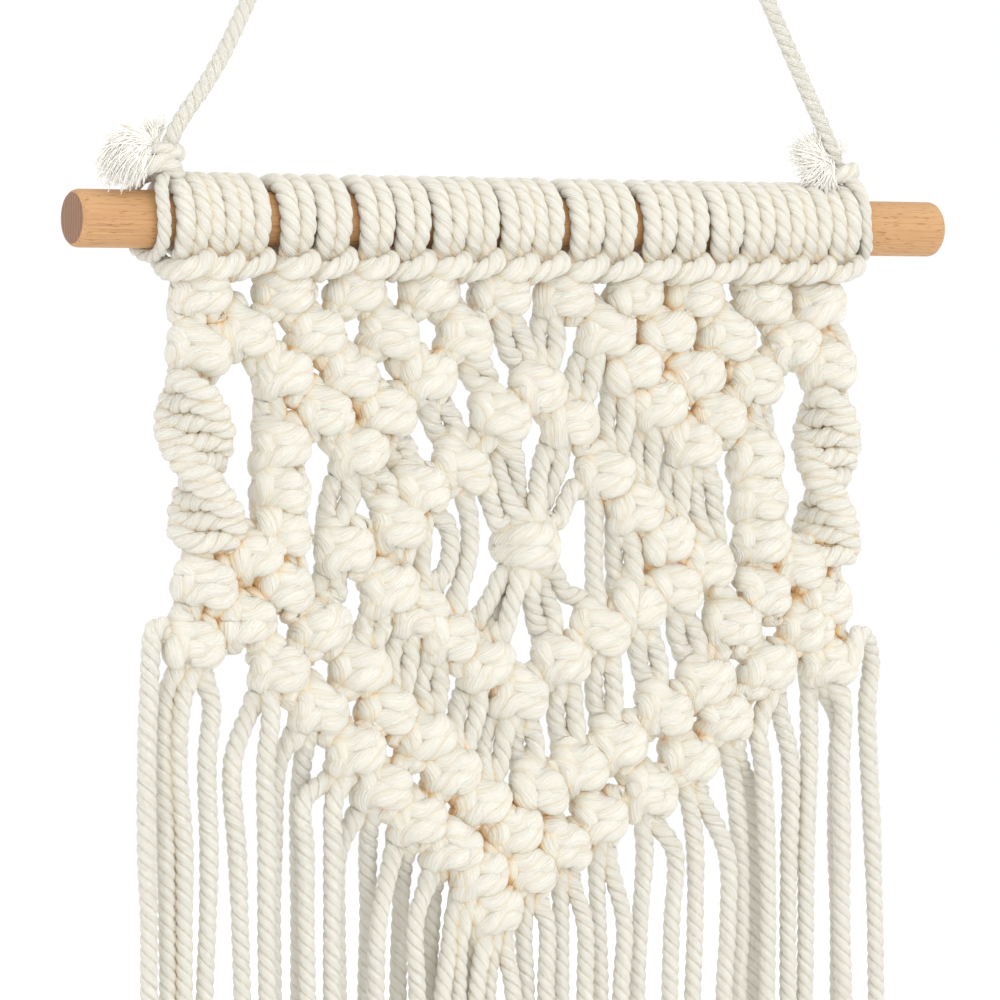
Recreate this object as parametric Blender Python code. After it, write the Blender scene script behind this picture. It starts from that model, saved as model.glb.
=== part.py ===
"""A macrame wall hanging: a net of cotton cord knotted on a wooden dowel, with a hanging cord.

The origin is the nail or hook that carries the hanging cord. +X runs along the dowel to the
right, -Y faces the room and +Z is up.
"""
import math

import bmesh
import bpy
from mathutils import Vector
from mathutils.geometry import delaunay_2d_cdt

MM = 0.001

# ---- driving sizes -------------------------------------------------------------------------
CORD = 4.0 * MM                 # twisted cotton cord
GAP = 0.3 * MM                  # room between neighbouring pieces
ROD_DIAMETER = 12.7 * MM
ROD_LENGTH = 222.0 * MM
ROD_EDGE = 1.6 * MM             # rounding of the rod's ends
ROD_DROP = 168.0 * MM           # from the nail down to the rod's axis
ROD_MIDDLE = 1.5 * MM           # the rod sticks out a little more on the right
CORD_PAIRS = 20                 # cords folded over the rod
PAIR_PITCH = 8.8 * MM           # along the rod, for one folded cord
NET_Y = -4.0 * MM               # middle of the net's thickness
NET_THIN = 5.0 * MM             # thickness between knots
NET_THICK = 10.0 * MM           # thickness at a knot
KNOT_WIDE = 15.2 * MM
KNOT_TALL = 10.0 * MM
EDGE_FLARE = 2.6 * MM           # the outermost knots stand this much further out
FRINGE_DROP = 320.0 * MM        # straight cut of the fringe, below the rod's axis
FRINGE_THICK = 8.0 * MM
FRINGE_CLEAR = 1.6 * MM         # between the net's lower edge and the fringe
TOOTH_WIDE = 5.6 * MM           # one pair of fringe cords
LOOP_X = (-92.5 * MM, 90.6 * MM)    # the hanging cord's two turns round the rod
TIE_X = (-85.8 * MM, 86.0 * MM)     # the knots that close them
TIE_WIDE = 2.5 * CORD
TIE_TALL = 2 * CORD
SWELL_REACH = 0.54              # a knot's swelling ends here, as a share of its width and height
SWELL_STEEP = 1.5               # and rises this fast towards its flat top
BARREL_NECK = 0.52              # a spiral's neck, as a share of its outer diameter
BARREL_CREASE = 0.1             # depth of the creases along a spiral, as a share of its radius
FLOWER_STEPS = 12               # sides of the spirals, tie knots and frayed ends

ROD_R = ROD_DIAMETER / 2
CORD_R = CORD / 2
LAST_POSITION = CORD_PAIRS - 1      # knots stand at positions 1 to 19 across the net

# ---- places round a knot's middle: shares of its width across, and of its height down ---------
CROWN_POINTS = (
    (-0.2, -0.16), (0.2, -0.16), (-0.2, 0.16), (0.2, 0.16),
    (-0.58, 0.0), (0.58, 0.0), (-0.25, 0.5), (0.25, 0.5),
)

# ---- a knot's lower edge: shares of half its width out, and how far above its foot -------------
FOOT_STEPS = ((0.8, CORD_R), (0.45, 0.0), (-0.3, 0.0))

# ---- knots: how far below the rod's axis, and at which positions across ---------------------
# drop (mm), positions; a square knot ties the four cords under its position
KNOT_ROWS = (
    (16.0, (1, 3, 5, 7, 9, 11, 13, 15, 17, 19)),
    (25.0, (2, 4, 6, 8, 12, 14, 16, 18)),
    (29.5, (1, 19)),
    (33.7, (3, 5, 7, 13, 15, 17)),
    (37.0, (10,)),
    (42.0, (3, 4, 6, 14, 16, 17)),
    (44.0, (9, 11)),
    (50.0, (5, 15)),
    (53.0, (3, 17)),
    (55.0, (8, 12)),
    (61.3, (7, 13)),
    (63.0, (3, 17)),
    (69.0, (6, 14)),
    (72.0, (10,)),
    (73.5, (5, 15)),
    (75.5, (2, 18)),
    (80.5, (1, 3, 17, 19)),
    (82.0, (6, 14)),
    (87.0, (7, 13)),
    (89.5, (2, 4, 16, 18)),
    (92.5, (8, 12)),
    (94.5, (1, 19)),
    (98.5, (3, 5, 9, 11, 15, 17)),
    (105.0, (10,)),
    (108.5, (4, 6, 14, 16)),
    (115.0, (7, 13)),
    (118.0, (5, 15)),
    (122.0, (8, 12)),
    (126.0, (6, 14)),
    (128.0, (9, 11)),
    (132.8, (7, 13)),
    (135.5, (10,)),
    (139.0, (8, 12)),
    (144.7, (9, 11)),
    (153.0, (10,)),
)

# ---- the net's largest gaps ------------------------------------------------------------------
# name, middle x at the top and at the foot, drop of the top and of the foot, width (mm)
NET_GAPS = (
    ("diamond_left", -22.4, -24.6, 66.0, 83.0, 5.6),
    ("middle_left", -10.8, -12.6, 60.0, 85.0, 5.6),
    ("middle_right", 15.8, 15.8, 61.0, 87.0, 6.0),
    ("diamond_right", 26.6, 27.6, 69.5, 81.5, 5.2),
    ("left_upper", -52.4, -52.8, 47.5, 62.5, 5.0),
    ("left_lower", -52.4, -52.4, 67.5, 83.0, 5.4),
    ("right_upper", 53.0, 54.0, 49.5, 64.0, 5.0),
    ("right_lower", 55.0, 54.6, 69.5, 85.0, 5.4),
)

# ---- the two spiral braids at the sides: middle x, top and foot drops, outer diameter (mm) ----
SPIRALS = (
    ("spiral_left", -81.5, ((35.3, 56.0, 18.6), (56.0, 74.6, 16.8))),
    ("spiral_right", 80.2, ((35.3, 57.6, 17.0), (57.6, 74.6, 17.0))),
)

# ---- the hanging cord's route, in mm from the nail: x, z; it lies in the plane y = 0 ----------
HANG_ROUTE = (
    (-84.2, -147.4), (-81.0, -143.4), (-77.4, -138.8), (-72.2, -130.5), (-62.3, -110.7), (-52.4, -90.8),
    (-42.5, -70.9), (-32.6, -51.0), (-22.7, -31.2), (-14.7, -15.2), (-10.6, -7.2),
    (-7.6, -2.6), (-4.0, 0.8), (0.0, 2.0), (4.0, 0.8), (7.6, -2.6),
    (10.8, -7.4), (15.0, -15.3), (23.2, -31.2), (33.5, -51.1), (43.8, -70.9),
    (54.1, -90.8), (64.4, -110.7), (74.7, -130.6), (79.6, -140.0), (84.0, -147.5),
)


def finish(name, bm, material, smooth=True):
    """Turn a bmesh into a named object with its material."""
    bmesh.ops.recalc_face_normals(bm, faces=bm.faces)
    mesh = bpy.data.meshes.new(name)
    bm.to_mesh(mesh)
    bm.free()
    for polygon in mesh.polygons:
        polygon.use_smooth = smooth
    piece = bpy.data.objects.new(name, mesh)
    piece.data.materials.append(material)
    bpy.context.collection.objects.link(piece)
    return piece


def material(name, colour, roughness):
    """A Principled material."""
    made = bpy.data.materials.new(name)
    made.use_nodes = True
    shader = made.node_tree.nodes["Principled BSDF"]
    shader.inputs["Base Color"].default_value = (*colour, 1.0)
    shader.inputs["Roughness"].default_value = roughness
    shader.inputs["Metallic"].default_value = 0.0
    return made


def smoothstep(low, high, value):
    """0 below low, 1 above high, and a smooth rise between."""
    share = min(max((value - low) / (high - low), 0.0), 1.0)
    return share * share * (3.0 - 2.0 * share)


def lean(x, drop):
    """The foot of the V hangs to the left of the middle."""
    most = -9.5 * MM
    foot = smoothstep(88.0 * MM, 150.0 * MM, drop)
    across = (x - 8.0 * MM) / (40.0 * MM)
    return most * foot * max(0.0, 1.0 - across * across)


def position_x(position):
    """The middle of a knot at a position across the net, before the lean."""
    x = (position - (LAST_POSITION + 1) / 2) * PAIR_PITCH
    if position in (1, LAST_POSITION):
        x += math.copysign(EDGE_FLARE, x)
    return x


def lowest_drop(position):
    """The drop of the lowest knot at a position."""
    return max(drop for drop, places in KNOT_ROWS if position in places) * MM


def foot_beside(x):
    """The foot of the lower of the two lowest knots on either side of x."""
    place = x / PAIR_PITCH + (LAST_POSITION + 1) / 2
    low = min(max(math.floor(place), 1), LAST_POSITION)
    high = min(max(math.ceil(place), 1), LAST_POSITION)
    return max(lowest_drop(low), lowest_drop(high)) + KNOT_TALL / 2


def inside(point, polygon):
    """Is a point inside a polygon?"""
    odd = False
    for (x0, z0), (x1, z1) in zip(polygon, polygon[1:] + polygon[:1]):
        if (z0 > point[1]) != (z1 > point[1]):
            if point[0] < x0 + (point[1] - z0) * (x1 - x0) / (z1 - z0):
                odd = not odd
    return odd


def slab(name, outline, gaps, extra, half_thickness, shade, lean_to=None):
    """A closed sheet with its outline and gaps in x and drop, of a varying thickness."""
    points = []
    edges = []
    for loop in [outline, *gaps]:
        first = len(points)
        points += [Vector(point) for point in loop]
        edges += [(first + i, first + (i + 1) % len(loop)) for i in range(len(loop))]
    points += [Vector(p) for p in extra if inside(p, outline) and not any(inside(p, g) for g in gaps)]
    flat, _, faces, *_ = delaunay_2d_cdt(points, edges, [], 0, 1e-7)
    bm = bmesh.new()
    front = []
    back = []
    for point in flat:
        half = half_thickness(point)
        x = point.x + (lean_to(point.x, point.y) if lean_to else 0.0)
        z = -ROD_DROP - point.y
        front.append(bm.verts.new((x, NET_Y - half, z)))
        back.append(bm.verts.new((x, NET_Y + half, z)))
    uses = {}
    for face in faces:
        middle = sum((flat[i] for i in face), Vector((0.0, 0.0))) / len(face)
        if inside(middle, outline) and not any(inside(middle, gap) for gap in gaps):
            bm.faces.new([front[i] for i in face])
            bm.faces.new([back[i] for i in reversed(face)])
            for a, b in zip(face, face[1:] + face[:1]):
                uses[frozenset((a, b))] = (a, b, frozenset((a, b)) in uses)
    for a, b, shared in uses.values():
        if not shared:
            bm.faces.new((front[b], front[a], back[a], back[b]))
    bmesh.ops.delete(bm, geom=[v for v in bm.verts if not v.link_faces], context="VERTS")
    return finish(name, bm, shade, smooth=False)


def turned(name, rings, shade, centre=(0.0, 0.0, 0.0), axis="X", closed=False, steps=24):
    """A solid of rings (place along the axis, radius), capped or closed on itself."""
    bm = bmesh.new()
    loops = []
    for along, radius in rings:
        loop = []
        for step in range(steps):
            angle = 2 * math.pi * step / steps
            across = (radius * math.cos(angle), radius * math.sin(angle))
            place = (along, *across) if axis == "X" else (*across, along)
            loop.append(bm.verts.new(Vector(centre) + Vector(place)))
        loops.append(loop)
    pairs = list(zip(loops, loops[1:]))
    if closed:
        pairs.append((loops[-1], loops[0]))
    else:
        bm.faces.new(loops[0])
        bm.faces.new(loops[-1])
    for low, high in pairs:
        for i in range(steps):
            j = (i + 1) % steps
            bm.faces.new((low[i], low[j], high[j], high[i]))
    return finish(name, bm, shade)


def dowel(shade):
    """The rod, with its ends' edges taken off."""
    half = ROD_LENGTH / 2
    turns = [math.radians(angle) for angle in (0, 30, 60, 90)]
    edge = [(half - ROD_EDGE * (1 - math.cos(turn)), ROD_R - ROD_EDGE * (1 - math.sin(turn)))
            for turn in turns]
    rings = [(-along, radius) for along, radius in edge] + edge[::-1]
    return turned("dowel", rings, shade, centre=(ROD_MIDDLE, 0.0, -ROD_DROP), steps=32)


def heading(shade):
    """The row of lark's heads: a ribbed sleeve of cord turns round the rod."""
    bore = ROD_R + GAP
    crest = bore + CORD
    valley = bore + 0.7 * CORD
    start = -CORD_PAIRS / 2 * PAIR_PITCH
    outer = []
    for pair in range(CORD_PAIRS):
        left = start + pair * PAIR_PITCH
        outer += [(left + 0.25 * PAIR_PITCH, crest), (left + 0.75 * PAIR_PITCH, crest)]
        if pair < CORD_PAIRS - 1:
            outer.append((left + PAIR_PITCH, valley))
    ends = [(start, bore), (start, valley)], [(-start, valley), (-start, bore)]
    rings = ends[0] + outer + ends[1]
    return turned("heading", rings, shade, centre=(0.0, 0.0, -ROD_DROP), closed=True, steps=20)


def lower_edge(out, down):
    """The right half of the V under the net, one step for each knot, or a line beside it."""
    half_wide = KNOT_WIDE / 2
    places = range(LAST_POSITION, (LAST_POSITION + 1) // 2, -1)
    feet = [lowest_drop(place) + KNOT_TALL / 2 + down for place in (*places, places[-1] - 1)]
    edge = []
    for step, place in enumerate(places):
        before = out if feet[step] >= feet[max(step - 1, 0)] else -out
        after = out if feet[step + 1] > feet[step] else -out
        for (share, raised), shift in zip(FOOT_STEPS, (before, 0.0, after)):
            edge.append((position_x(place) + share * half_wide + shift, feet[step] - raised))
    edge.append((FOOT_STEPS[1][0] * half_wide + out, feet[-1]))
    return edge


def net_outline():
    """The net's edge, in x and drop: its right half is worked out, and its left half mirrors it."""
    half_wide = KNOT_WIDE / 2
    half_tall = KNOT_TALL / 2
    top = ROD_R + GAP + CORD + GAP
    outer = position_x(LAST_POSITION) + half_wide
    inner = position_x(LAST_POSITION - 2) + half_wide
    shoulder = 29.5 * MM + half_tall
    ledge = 75.5 * MM
    right = [(outer - CORD_R, top), (outer, 16.0 * MM), (outer, shoulder - CORD_R),
             (outer - CORD, shoulder), (inner + CORD, shoulder), (inner, shoulder + CORD),
             (inner, ledge - CORD), (inner + CORD, ledge), (outer - CORD, ledge),
             (outer, ledge + CORD)]
    right += lower_edge(0.0, 0.0)
    return right + [(-x, drop) for x, drop in reversed(right)]


def gap_outline(row):
    """A gap with pointed ends and straight sides."""
    _, x_top, x_foot, top, foot, wide = row
    point = 0.16 * (foot - top)
    half = wide / 2
    corners = ((x_top, top), (x_top + half, top + point), (x_foot + half, foot - point),
               (x_foot, foot), (x_foot - half, foot - point), (x_top - half, top + point))
    return [(x * MM, drop * MM) for x, drop in corners]


def knots():
    """The middle of every knot, as x and drop."""
    return [(position_x(place), drop * MM) for drop, places in KNOT_ROWS for place in places]


def net(shade):
    """The knotted net: one sheet, thick at each knot, with its outer form and largest gaps."""
    crowns = knots()

    def half_thickness(point):
        rise = 0.0
        for x, drop in crowns:
            across = (point.x - x) / (SWELL_REACH * KNOT_WIDE)
            down = (point.y - drop) / (SWELL_REACH * KNOT_TALL)
            rise = max(rise, 1.0 - across * across - down * down)
        return (NET_THIN + (NET_THICK - NET_THIN) * min(1.0, SWELL_STEEP * rise)) / 2

    extra = [(x + across * KNOT_WIDE, drop + down * KNOT_TALL)
             for x, drop in crowns for across, down in CROWN_POINTS]
    gaps = [gap_outline(row) for row in NET_GAPS]
    return slab("net", net_outline(), gaps, extra, half_thickness, shade, lean)


def fringe_outline():
    """The comb of fringe cords: it follows the net's lower edge and is cut off straight."""
    side = position_x(LAST_POSITION) + KNOT_WIDE / 2 + 1.5 * CORD_R
    shoulder = lowest_drop(LAST_POSITION) - CORD_R
    foot = lowest_drop(LAST_POSITION) + KNOT_TALL / 2 + FRINGE_CLEAR
    right = [(side + CORD, shoulder), (side, shoulder), (side, foot)]
    right += lower_edge(FRINGE_CLEAR, FRINGE_CLEAR)
    top = right + [(-x, drop) for x, drop in reversed(right)]
    teeth = []
    for pair in range(CORD_PAIRS):
        x = (pair - (CORD_PAIRS - 1) / 2) * PAIR_PITCH
        root = foot_beside(x) + 2 * CORD
        left = x - TOOTH_WIDE / 2
        right_side = x + TOOTH_WIDE / 2
        if pair == 0:
            left = -side - CORD
            right_side = left + 3 * CORD
        if pair == CORD_PAIRS - 1:
            right_side = side + CORD
            left = right_side - 3 * CORD
        if pair > 0:
            teeth.append((left, root))
        teeth += [(left, FRINGE_DROP), (right_side, FRINGE_DROP)]
        if pair < CORD_PAIRS - 1:
            teeth.append((right_side, root))
    return top + teeth


def fringe_lean(x, drop):
    """The fringe hangs straight down from the knots, wherever the net's lean puts them."""
    return lean(x, min(drop - FRINGE_CLEAR, foot_beside(x)))


def fringe(shade):
    """The fringe, one comb with a tooth for each pair of cords."""
    return slab("fringe", fringe_outline(), [], [], lambda _: FRINGE_THICK / 2, shade, fringe_lean)


def spiral(name, x, swellings, shade):
    """A braid of half knots: barrel-shaped swellings, square in section and twisted."""
    rows = 7
    bm = bmesh.new()
    loops = []
    for top, foot, wide in swellings:
        for row in range(rows):
            share = row / (rows - 1)
            if row == 0 and loops:
                continue
            drop = (top + (foot - top) * share) * MM
            swell = BARREL_NECK + (1.0 - BARREL_NECK) * math.sqrt(math.sin(math.pi * share))
            radius = swell * wide * MM / 2
            loop = []
            for step in range(FLOWER_STEPS):
                angle = 2 * math.pi * step / FLOWER_STEPS
                ridge = radius * (1.0 - BARREL_CREASE * abs(math.sin(2 * angle)))
                turn = angle + math.pi * len(loops) / rows
                place = (x * MM + ridge * math.cos(turn), NET_Y + ridge * math.sin(turn), -ROD_DROP - drop)
                loop.append(bm.verts.new(place))
            loops.append(loop)
    bm.faces.new(loops[0])
    bm.faces.new(loops[-1])
    for high, low in zip(loops, loops[1:]):
        for i in range(FLOWER_STEPS):
            j = (i + 1) % FLOWER_STEPS
            bm.faces.new((high[i], high[j], low[j], low[i]))
    return finish(name, bm, shade)


def smooth_route(points, spacing):
    """Points a set distance apart on a smooth curve through hand-chosen points."""
    line = [Vector((x * MM, 0.0, z * MM)) for x, z in points]
    ends = [2 * line[0] - line[1], *line, 2 * line[-1] - line[-2]]
    fine = []
    for a, b, c, d in zip(ends, ends[1:], ends[2:], ends[3:]):
        for step in range(8):
            t = step / 8
            fine.append(0.5 * (2 * b + (c - a) * t + (2 * a - 5 * b + 4 * c - d) * t * t
                               + (3 * b - a - 3 * c + d) * t ** 3))
    fine.append(line[-1])
    kept = [fine[0]]
    for point in fine[1:-1]:
        if (point - kept[-1]).length >= spacing:
            kept.append(point)
    return [*kept, fine[-1]]


def hanging_cord(shade):
    """The cord from one tie knot up over the nail and down to the other."""
    curve = bpy.data.curves.new("hanging_cord", "CURVE")
    curve.dimensions = "3D"
    curve.bevel_depth = CORD_R
    curve.bevel_resolution = 2
    curve.use_fill_caps = True
    route = smooth_route(HANG_ROUTE, 2.2 * CORD)
    spline = curve.splines.new("POLY")
    spline.points.add(len(route) - 1)
    for point, place in zip(spline.points, route):
        point.co = (*place, 1.0)
    spline.use_smooth = True
    piece = bpy.data.objects.new("hanging_cord", curve)
    piece.data.materials.append(shade)
    bpy.context.collection.objects.link(piece)
    return piece


def hanger_loop(name, x, shade):
    """One turn of the hanging cord round the rod."""
    centre_r = ROD_R + GAP + CORD_R
    rings = [(CORD_R * math.cos(math.pi * i / 4), centre_r + CORD_R * math.sin(math.pi * i / 4))
             for i in range(8)]
    return turned(name, rings, shade, centre=(x, 0.0, -ROD_DROP), closed=True)


def tie_knot(name, x, shade):
    """The knot that closes a loop: a lump of wrapped cord on top of the loop."""
    foot = -ROD_DROP + ROD_R + 2 * GAP + CORD + 0.05 * MM
    rings = [(share * TIE_TALL, (0.7 + 0.3 * math.sin(math.pi * share)) * TIE_WIDE / 2)
             for share in (0.0, 0.25, 0.5, 0.75, 1.0)]
    return turned(name, rings, shade, centre=(x, 0.0, foot), axis="Z", steps=FLOWER_STEPS)


def frayed_end(name, root, tip, root_r, tip_r, shade):
    """An unravelled tail: a brush that widens from its root to its trimmed end."""
    start = Vector(root) * MM
    end = Vector(tip) * MM
    run = (end - start).normalized()
    side = run.cross(Vector((0.0, 1.0, 0.0))).normalized()
    up = side.cross(run)
    bm = bmesh.new()
    loops = []
    for share, radius in ((0.0, root_r), (0.45, tip_r), (0.85, tip_r), (1.0, 0.7 * tip_r)):
        middle = start.lerp(end, share)
        loop = []
        for step in range(FLOWER_STEPS):
            angle = 2 * math.pi * step / FLOWER_STEPS
            spread = side * math.cos(angle) + 0.7 * up * math.sin(angle)
            loop.append(bm.verts.new(middle + radius * MM * spread))
        loops.append(loop)
    bm.faces.new(loops[0])
    bm.faces.new(loops[-1])
    for low, high in zip(loops, loops[1:]):
        for i in range(FLOWER_STEPS):
            j = (i + 1) % FLOWER_STEPS
            bm.faces.new((low[i], low[j], high[j], high[i]))
    return finish(name, bm, shade)


for old in list(bpy.data.objects):
    bpy.data.objects.remove(old, do_unlink=True)

beech = material("beech", (0.72, 0.45, 0.24), 0.55)
cotton = material("cotton", (0.86, 0.82, 0.72), 0.9)

dowel(beech)
heading(cotton)
net(cotton)
fringe(cotton)
for spiral_name, spiral_x, spiral_swellings in SPIRALS:
    spiral(spiral_name, spiral_x, spiral_swellings, cotton)
hanging_cord(cotton)
hanger_loop("hanger_loop_left", LOOP_X[0], cotton)
hanger_loop("hanger_loop_right", LOOP_X[1], cotton)
tie_knot("tie_knot_left", TIE_X[0], cotton)
tie_knot("tie_knot_right", TIE_X[1], cotton)
# root and tip in mm from the nail, then the radius at the root and at the tip in mm
frayed_end("frayed_end_left", (-92.5, -1.0, -151.0), (-103.0, -3.0, -157.0), 3.0, 4.4, cotton)
frayed_end("frayed_end_right", (79.7, 2.7, -152.3), (76.8, 4.7, -146.0), 2.2, 3.0, cotton)
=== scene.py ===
import math

import bpy
import numpy as np
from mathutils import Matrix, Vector, kdtree


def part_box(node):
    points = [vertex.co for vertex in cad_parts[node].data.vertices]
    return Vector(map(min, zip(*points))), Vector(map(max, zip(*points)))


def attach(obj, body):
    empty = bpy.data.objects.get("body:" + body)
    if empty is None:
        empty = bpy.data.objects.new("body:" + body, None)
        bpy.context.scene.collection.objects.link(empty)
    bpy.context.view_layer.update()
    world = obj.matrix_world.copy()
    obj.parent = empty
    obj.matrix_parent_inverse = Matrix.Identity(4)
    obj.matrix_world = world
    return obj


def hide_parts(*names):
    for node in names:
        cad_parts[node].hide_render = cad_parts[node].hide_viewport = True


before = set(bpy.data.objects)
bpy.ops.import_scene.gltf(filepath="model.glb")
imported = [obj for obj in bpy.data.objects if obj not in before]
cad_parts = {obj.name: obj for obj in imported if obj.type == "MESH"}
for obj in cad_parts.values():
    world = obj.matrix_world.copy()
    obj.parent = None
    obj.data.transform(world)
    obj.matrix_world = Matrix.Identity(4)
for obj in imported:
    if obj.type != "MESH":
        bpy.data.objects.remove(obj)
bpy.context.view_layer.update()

# ---- camera ----
# A long lens a little to the left of the hanging and level with its upper net. It is cropped
# close, so that the top of the hanging cord and the lower half of the fringe are out of the frame.
lens = bpy.data.cameras.new("camera")
lens.lens = 214.2
lens.sensor_width = 36.0
lens.shift_y = -0.136
lens.clip_end = 20.0
camera = bpy.data.objects.new("camera", lens)
camera.location = (-0.65917, -1.15890, -0.19940)
camera.rotation_euler = (math.radians(90.0), 0.0, math.radians(-29.5))
bpy.context.collection.objects.link(camera)
bpy.context.scene.camera = camera


# ---- hanging cord ----
# One length of three-strand cotton cord. It goes from the knot on the left, up over the nail
# and down to the knot on the right. All cord here is laid up the same way: three soft strands
# twisted together, so that the crests and the grooves between them run round it.
MM = 0.001
CORD_R = 2.05                   # mm
LAY = 8.4                       # mm of cord for one full turn of its strands
STRAND = (0.77, 0.94, 1.0, 1.0, 0.94)        # one strand's outline, groove to groove
RING = np.array(STRAND * 3)
WIDEN = 0.40                    # how much wider a cord gets where it is pressed hard
OPENED = 0.45                   # how much of its twist it loses there
LEVELLED = 0.5                  # how much of its grooves' depth
SWELL = 0.06                    # and how much thicker it gets all round
LAY_UNIT = 10.0                 # mm of cord for 1 along its own map
RING_ANGLE = np.arange(len(RING)) * 2 * np.pi / len(RING)


def smooth_line(points, spacing):
    """Even points on a smooth curve through given points, which may be far apart or close."""
    p = np.array(points, dtype=float)
    p = np.vstack([2 * p[0] - p[1], p, 2 * p[-1] - p[-2]])
    gap = np.sqrt(np.linalg.norm(np.diff(p, axis=0), axis=1))[:, None]
    step = np.diff(p, axis=0) / gap
    slope = step[:-1] - (p[2:] - p[:-2]) / (gap[:-1] + gap[1:]) + step[1:]
    t = np.linspace(0, 1, 10, endpoint=False)[:, None]
    fine = []
    for i in range(1, len(p) - 2):
        leave, arrive = slope[i - 1] * gap[i], slope[i] * gap[i]
        fine.append((2 * t ** 3 - 3 * t ** 2 + 1) * p[i] + (t ** 3 - 2 * t ** 2 + t) * leave
                    + (3 * t ** 2 - 2 * t ** 3) * p[i + 1] + (t ** 3 - t ** 2) * arrive)
    return even_line(np.vstack([*fine, p[-2][None]]), spacing)


def even_line(line, spacing):
    """The same line with its points a set distance apart."""
    along = np.concatenate([[0], np.cumsum(np.linalg.norm(np.diff(line, axis=0), axis=1))])
    steps = np.linspace(0, along[-1], max(2, int(round(along[-1] / spacing)) + 1))
    return np.stack([np.interp(steps, along, line[:, i]) for i in range(3)], 1)


def turning_frames(line):
    """Two directions across a line at each point, carried along it without twisting."""
    ahead = np.gradient(line, axis=0)
    ahead /= np.linalg.norm(ahead, axis=1)[:, None]
    side = np.cross(ahead[0], (0.0, 1.0, 0.1))
    sides = []
    for heading in ahead:
        side = side - heading * (side @ heading)
        side /= math.sqrt(side @ side)
        sides.append(side)
    sides = np.array(sides)
    return sides, np.cross(ahead, sides)


def laid_cord(name, line, radius=CORD_R, hemmed=None, start_turn=0.0, pressed=None):
    """A twisted cord as a closed tube along a line in mm, with its strands' grooves modelled.

    radius is one number or one for each point. pressed holds, for each point, the direction in
    which the cord is pressed against what it lies on, and how strongly, from 0 to 1: there it
    is wider, its grooves are shallower and its twist is opened. hemmed measures, for each place
    on its surface, how much the cords around it shade it and whether they touch it.
    """
    count = len(line)
    rings = len(RING)
    radius = np.broadcast_to(radius, count)[:, None]
    along = np.concatenate([[0], np.cumsum(np.linalg.norm(np.diff(line, axis=0), axis=1))])
    sides, ups = turning_frames(line)
    twist = np.ones(count) if pressed is None else 1.0 - OPENED * pressed[1]
    wound = np.concatenate([[0], np.cumsum(np.diff(along) * 0.5 * (twist[1:] + twist[:-1]))])
    turn = start_turn - wound[:, None] * 2 * np.pi / LAY + RING_ANGLE[None]
    across = np.cos(turn)[..., None] * sides[:, None] + np.sin(turn)[..., None] * ups[:, None]
    if pressed is None:
        offset = (radius * RING[None])[..., None] * across
    else:
        outward, hard = pressed
        offset = (radius * (1 - (1 - RING[None]) * (1 - LEVELLED * hard[:, None])))[..., None] * across
        flank = np.cross(np.cross(sides, ups), outward)
        flank /= np.maximum(np.linalg.norm(flank, axis=1), 1e-6)[:, None]
        along_flank = (offset * flank[:, None]).sum(2)
        offset = offset + (along_flank * WIDEN * hard[:, None])[..., None] * flank[:, None]
        offset *= (1 + SWELL * hard)[:, None, None]
    points = (line[:, None] + offset).reshape(-1, 3)
    middle = np.vstack([line[0], line[-1]])
    verts = np.vstack([points, middle]) * MM
    ring = np.arange(rings)
    step = np.arange(count - 1)[:, None] * rings
    nxt = (ring + 1) % rings
    quads = np.stack([step + ring, step + nxt, step + rings + nxt, step + rings + ring], 2)
    quads = quads.reshape(-1, 4)
    last = (count - 1) * rings
    first_cap = np.stack([nxt, ring, np.full(rings, count * rings)], 1)
    last_cap = np.stack([last + ring, last + nxt, np.full(rings, count * rings + 1)], 1)
    mesh = bpy.data.meshes.new(name)
    mesh.vertices.add(len(verts))
    mesh.vertices.foreach_set("co", verts.ravel())
    corners = np.concatenate([quads.ravel(), first_cap.ravel(), last_cap.ravel()])
    starts = np.concatenate([np.arange(len(quads)) * 4,
                             len(quads) * 4 + np.arange(2 * rings) * 3])
    mesh.loops.add(len(corners))
    mesh.loops.foreach_set("vertex_index", corners)
    mesh.polygons.add(len(starts))
    mesh.polygons.foreach_set("loop_start", starts)
    mesh.polygons.foreach_set("use_smooth", np.ones(len(starts), dtype=bool))
    # the cord's own map: once round the cord across it, and its length along it
    u = np.concatenate([np.stack([np.broadcast_to(ring, (count - 1, rings)),
                                  np.broadcast_to(ring + 1, (count - 1, rings)),
                                  np.broadcast_to(ring + 1, (count - 1, rings)),
                                  np.broadcast_to(ring, (count - 1, rings))], 2).ravel(),
                        np.tile([0.5] * 3, 2 * rings)]) / rings
    low = np.broadcast_to(along[:-1, None], (count - 1, rings))
    high = np.broadcast_to(along[1:, None], (count - 1, rings))
    v = np.concatenate([np.stack([low, low, high, high], 2).ravel(),
                        np.zeros(3 * rings), np.full(3 * rings, along[-1])]) / LAY_UNIT
    mesh.uv_layers.new(name="lay").data.foreach_set("uv", np.stack([u, v], 1).ravel())
    shade = np.zeros(len(verts))
    touch = np.zeros(len(verts))
    if hemmed is not None:
        kept, close = hemmed(line, across, points.reshape(count, rings, 3))
        shade[:count * rings] = kept.ravel()
        touch[:count * rings] = close.ravel()
    mesh.attributes.new("hemmed", "FLOAT", "POINT").data.foreach_set("value", shade)
    mesh.attributes.new("touching", "FLOAT", "POINT").data.foreach_set("value", touch)
    # groove is 1 in the grooves between the strands and 0 on their crests; the cotton paints shade there
    groove = np.zeros(len(verts))
    groove[:count * rings] = np.tile((1.0 - RING) / (1.0 - min(STRAND)), count)
    mesh.attributes.new("groove", "FLOAT", "POINT").data.foreach_set("value", groove)
    # firm is how hard the cord is pressed there; the cotton is painted duller by it, partly as shade
    firm = np.zeros(len(verts))
    if pressed is not None:
        firm[:count * rings] = np.repeat(pressed[1], rings)
    mesh.attributes.new("firm", "FLOAT", "POINT").data.foreach_set("value", firm)
    mesh.update()
    mesh.validate()
    piece = bpy.data.objects.new(name, mesh)
    bpy.context.collection.objects.link(piece)
    return piece


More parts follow.
